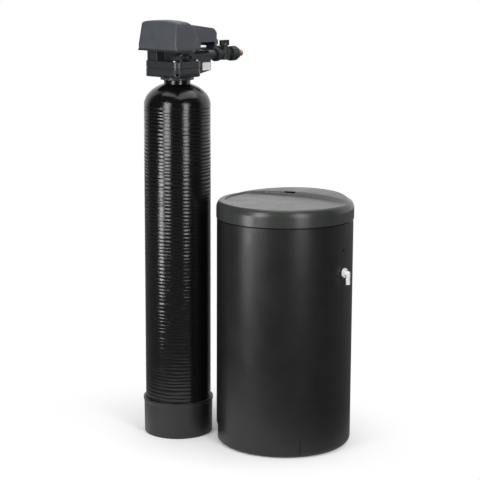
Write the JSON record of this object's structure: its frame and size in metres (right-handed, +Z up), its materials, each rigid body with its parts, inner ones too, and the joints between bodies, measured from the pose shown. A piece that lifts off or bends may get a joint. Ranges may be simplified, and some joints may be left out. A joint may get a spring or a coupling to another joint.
{
  "type": "water softener",
  "caption": "Twin-tank water softener: wound mineral tank with hooded control valve and bypass, and a round brine tank with lid and overflow elbow.",
  "frame": {"origin": "centre of the underside of the mineral tank's boot, on the floor", "axes": "+Z up, -Y to the front of the hood, +Y where the pipes leave, +X to the side of the brine tank"},
  "size_m": [0.7216, 0.5375, 1.4533],
  "materials": {
    "wound_fibre": "black filament-wound glass fibre under a gloss resin coat",
    "boot_rubber_plastic": "black moulded plastic, satin",
    "brine_polyethylene": "black polyethylene, satin from the mould",
    "hood_plastic": "charcoal moulded plastic with a fine grain",
    "valve_plastic": "dark grey glass-filled plastic",
    "bypass_plastic": "near-black glass-filled plastic",
    "natural_plastic": "natural uncoloured plastic",
    "white_plastic": "white plastic, satin",
    "seal_rubber": "black rubber",
    "steel": "plain stainless steel",
    "piston_brass": "machined brass",
    "copper": "bright copper tube",
    "resin_beads": "amber ion-exchange beads",
    "gravel": "washed quartz gravel",
    "check_ball": "red plastic ball"
  },
  "bodies": {
    "softener": {"tank_boot": "boot_rubber_plastic", "mineral_tank": "wound_fibre", "gravel_bed": "gravel", "resin_bed": "resin_beads", "riser_tube": "natural_plastic", "bottom_distributor": "natural_plastic", "top_distributor": "natural_plastic", "neck_collar": "valve_plastic", "neck_seal": "seal_rubber", "riser_seal": "seal_rubber", "valve_body": "valve_plastic", "body_screws": "steel", "seal_rings": "seal_rubber", "seal_spacers": "natural_plastic", "end_plug": "natural_plastic", "injector_cap": "valve_plastic", "injector_screws": "steel", "injector_throat": "white_plastic", "injector_screen": "white_plastic", "brine_line_fitting": "valve_plastic", "drain_fitting": "valve_plastic", "drive_chassis": "valve_plastic", "chassis_screws": "steel", "drive_motor": "steel", "motor_screws": "steel", "timer_case": "valve_plastic", "union_nuts": "bypass_plastic", "bypass_body": "bypass_plastic", "rotor_retainers": "bypass_plastic", "tube_nuts": "bypass_plastic", "pipe_seals": "seal_rubber", "copper_tubes": "copper", "brine_tank": "brine_polyethylene", "salt_grid": "natural_plastic", "grid_legs": "natural_plastic", "brine_well": "brine_polyethylene", "well_cap": "brine_polyethylene", "brine_pickup": "white_plastic", "check_ball": "check_ball", "overflow_elbow": "white_plastic", "overflow_nut": "white_plastic", "overflow_gasket": "seal_rubber"},
    "hood": {"hood": "hood_plastic"},
    "brine_lid": {"brine_lid": "brine_polyethylene"},
    "inlet_valve": {"inlet_rotor": "natural_plastic", "inlet_rotor_seals": "seal_rubber", "inlet_handle": "bypass_plastic"},
    "outlet_valve": {"outlet_rotor": "natural_plastic", "outlet_rotor_seals": "seal_rubber", "outlet_handle": "bypass_plastic"},
    "drive": {"drive_gear": "natural_plastic", "drive_shaft": "steel", "rack_pinion": "natural_plastic", "regen_knob": "white_plastic"},
    "motor_pinion": {"motor_pinion": "steel"},
    "piston": {"piston": "piston_brass", "piston_rod": "steel"},
    "timer_dial": {"timer_dial": "white_plastic"},
    "float": {"float": "white_plastic", "float_rod": "steel"}
  },
  "joints": [
    {"name": "hood_lift", "type": "slide", "parent": "softener", "child": "hood", "axis": [0, 0, 1], "range_m": [0, 0.12]},
    {"name": "lid_lift", "type": "slide", "parent": "softener", "child": "brine_lid", "axis": [0, 0, 1], "range_m": [0, 0.15]},
    {"name": "inlet_valve_turn", "type": "hinge", "parent": "softener", "child": "inlet_valve", "pos_m": [0.027, 0.209, 1.337], "axis": [0, 0, 1], "range_deg": [0, 90]},
    {"name": "outlet_valve_turn", "type": "hinge", "parent": "softener", "child": "outlet_valve", "pos_m": [-0.027, 0.209, 1.337], "axis": [0, 0, -1], "range_deg": [0, 90]},
    {"name": "drive_turn", "type": "hinge", "parent": "softener", "child": "drive", "pos_m": [0.014, -0.02, 1.391], "axis": [0, 1, 0], "range_deg": [0, 128]},
    {"name": "motor_turn", "type": "hinge", "parent": "softener", "child": "motor_pinion", "pos_m": [0.04572, -0.034, 1.40579], "axis": [0, 1, 0], "range_deg": [-512, 0]},
    {"name": "piston_slide", "type": "slide", "parent": "softener", "child": "piston", "axis": [0, 0, 1], "range_m": [0, 0.02]},
    {"name": "dial_turn", "type": "hinge", "parent": "softener", "child": "timer_dial", "pos_m": [-0.045, -0.065, 1.398], "axis": [0, -1, 0], "continuous": true},
    {"name": "float_slide", "type": "slide", "parent": "softener", "child": "float", "axis": [0, 0, 1], "range_m": [0, 0.015]}
  ],
  "couplings": [
    {"joint": "drive_turn", "follows": "piston_slide", "rad_per_m": 111.11},
    {"joint": "motor_turn", "follows": "piston_slide", "rad_per_m": -444.44}
  ]
}
